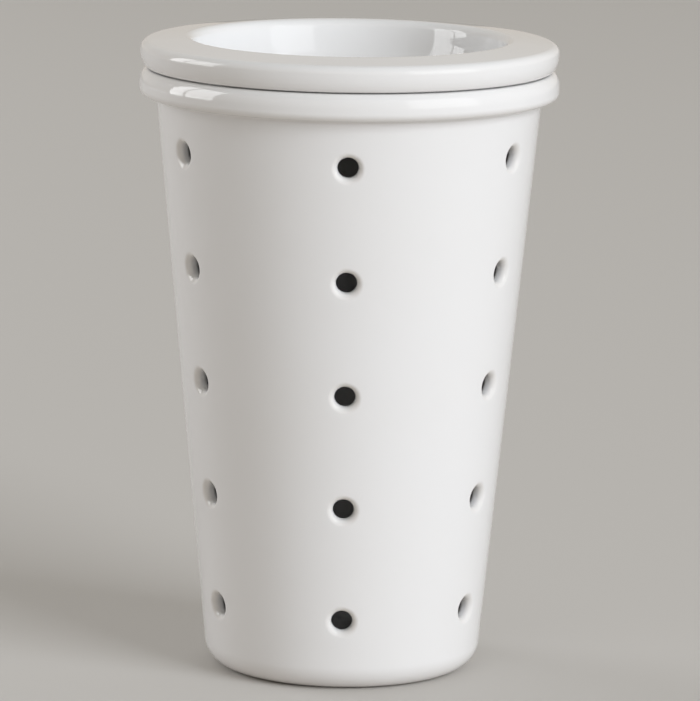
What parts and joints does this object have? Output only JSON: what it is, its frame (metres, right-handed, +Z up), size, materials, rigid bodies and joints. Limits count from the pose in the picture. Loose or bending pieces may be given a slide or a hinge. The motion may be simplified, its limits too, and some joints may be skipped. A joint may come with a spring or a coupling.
{
  "type": "utensil caddy",
  "caption": "Tapered glazed stoneware caddy with rows of round drainage holes, a rolled rim, and a loose dish that lies on the rim as a lid with its bowl in the mouth.",
  "frame": {"origin": "middle of the face that the caddy stands on", "axes": "+Z up along the axis of the vessel, -Y towards the viewer of the picture, where one column of holes faces, +X to the right"},
  "size_m": [0.128, 0.128, 0.1946],
  "materials": {
    "caddy_glaze": "gloss",
    "dish_glaze": "gloss"
  },
  "bodies": {
    "caddy": {"perforated_caddy": "caddy_glaze"},
    "lid": {"dish_lid": "dish_glaze"}
  },
  "joints": [
    {"name": "lid_lift", "type": "slide", "parent": "caddy", "child": "lid", "axis": [0, 0, 1], "range_m": [0, 0.12]}
  ]
}
